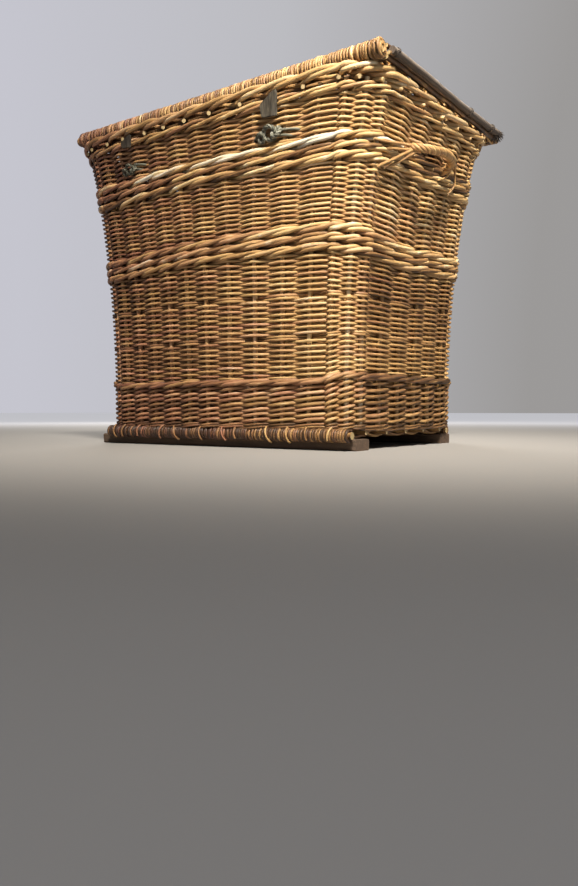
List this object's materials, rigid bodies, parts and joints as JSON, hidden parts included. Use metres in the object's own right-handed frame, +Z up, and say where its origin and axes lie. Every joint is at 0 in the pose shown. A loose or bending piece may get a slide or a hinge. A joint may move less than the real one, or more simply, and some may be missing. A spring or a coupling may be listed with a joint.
{
  "type": "woven laundry hamper",
  "caption": "Rectangular woven willow laundry hamper with rounded flaring sides, hinged stick lid, roped end handles and wooden runners.",
  "frame": {"origin": "centre of the bounding box in plan, on the floor plane that touches the runners' undersides", "axes": "+Z up; +X along the long side towards the hamper's right end as seen from the front; +Y from the front, where the straps are, to the back, where the lid hinges"},
  "size_m": [0.8036, 0.5542, 0.6657],
  "materials": {
    "willow_siding": "split and round willow, satin, aged golden brown",
    "willow_wale": "round willow rods, satin, straw to brown with pale rubbed rods",
    "willow_border": "thick round willow rods, satin, straw and brown",
    "willow_stake": "upright willow stakes, satin",
    "willow_base": "willow weave over sticks, satin",
    "willow_lid": "willow weave over sticks, dry straw brown",
    "willow_handle": "roped willow, satin straw",
    "green_willow": "twisted willow, dull grey green",
    "weathered_rod": "weathered grey brown rod, dull",
    "runner_board": "rough sawn board, dull dark brown",
    "iron_nail": "dull dark iron",
    "strap_leather": "worn grey tan leather, dull"
  },
  "bodies": {
    "body": {"foot_wale": "willow_wale", "siding_lower": "willow_siding", "wale_middle": "willow_wale", "siding_middle": "willow_siding", "wale_upper": "willow_wale", "siding_upper": "willow_siding", "top_wale": "willow_wale", "border": "willow_border", "corner_post_front_left": "willow_stake", "corner_post_front_right": "willow_stake", "corner_post_back_left": "willow_stake", "corner_post_back_right": "willow_stake", "stake_front_left": "willow_stake", "stake_front_right": "willow_stake", "stake_back_left": "willow_stake", "stake_back_right": "willow_stake", "stake_end_left": "willow_stake", "stake_end_right": "willow_stake", "base_panel": "willow_base", "base_stick_front": "willow_base", "base_stick_back": "willow_base", "base_stick_1": "willow_base", "base_stick_2": "willow_base", "base_stick_3": "willow_base", "base_stick_4": "willow_base", "base_stick_5": "willow_base", "runner_front": "runner_board", "runner_back": "runner_board", "nail_front_1": "iron_nail", "nail_front_2": "iron_nail", "nail_front_3": "iron_nail", "nail_back_1": "iron_nail", "nail_back_2": "iron_nail", "nail_back_3": "iron_nail", "hinge_loop_1": "green_willow", "hinge_loop_2": "green_willow", "hinge_loop_3": "green_willow", "handle_left": "willow_handle", "handle_right": "willow_handle", "noose_left": "green_willow", "noose_right": "green_willow"},
    "lid": {"lid_panel": "willow_lid", "lid_stick_front": "willow_lid", "lid_stick_back": "willow_lid", "lid_stick_1": "willow_lid", "lid_stick_2": "willow_lid", "lid_stick_3": "willow_lid", "lid_stick_4": "willow_lid", "lid_stick_5": "willow_lid", "lid_stick_6": "willow_lid", "lid_edge_rod_left": "weathered_rod", "lid_edge_rod_right": "weathered_rod"},
    "strap_left_flap": {"strap_left": "strap_leather"},
    "strap_right_flap": {"strap_right": "strap_leather"}
  },
  "joints": [
    {"name": "lid_hinge", "type": "hinge", "parent": "body", "child": "lid", "pos_m": [0, 0.25915, 0.648], "axis": [-1, 0, 0], "range_deg": [0, 110]},
    {"name": "strap_left_hinge", "type": "hinge", "parent": "body", "child": "strap_left_flap", "pos_m": [-0.187, -0.2663, 0.6098], "axis": [-1, 0, 0], "range_deg": [0, 85]},
    {"name": "strap_right_hinge", "type": "hinge", "parent": "body", "child": "strap_right_flap", "pos_m": [0.171, -0.26713, 0.6098], "axis": [-1, 0, 0], "range_deg": [0, 85]}
  ]
}
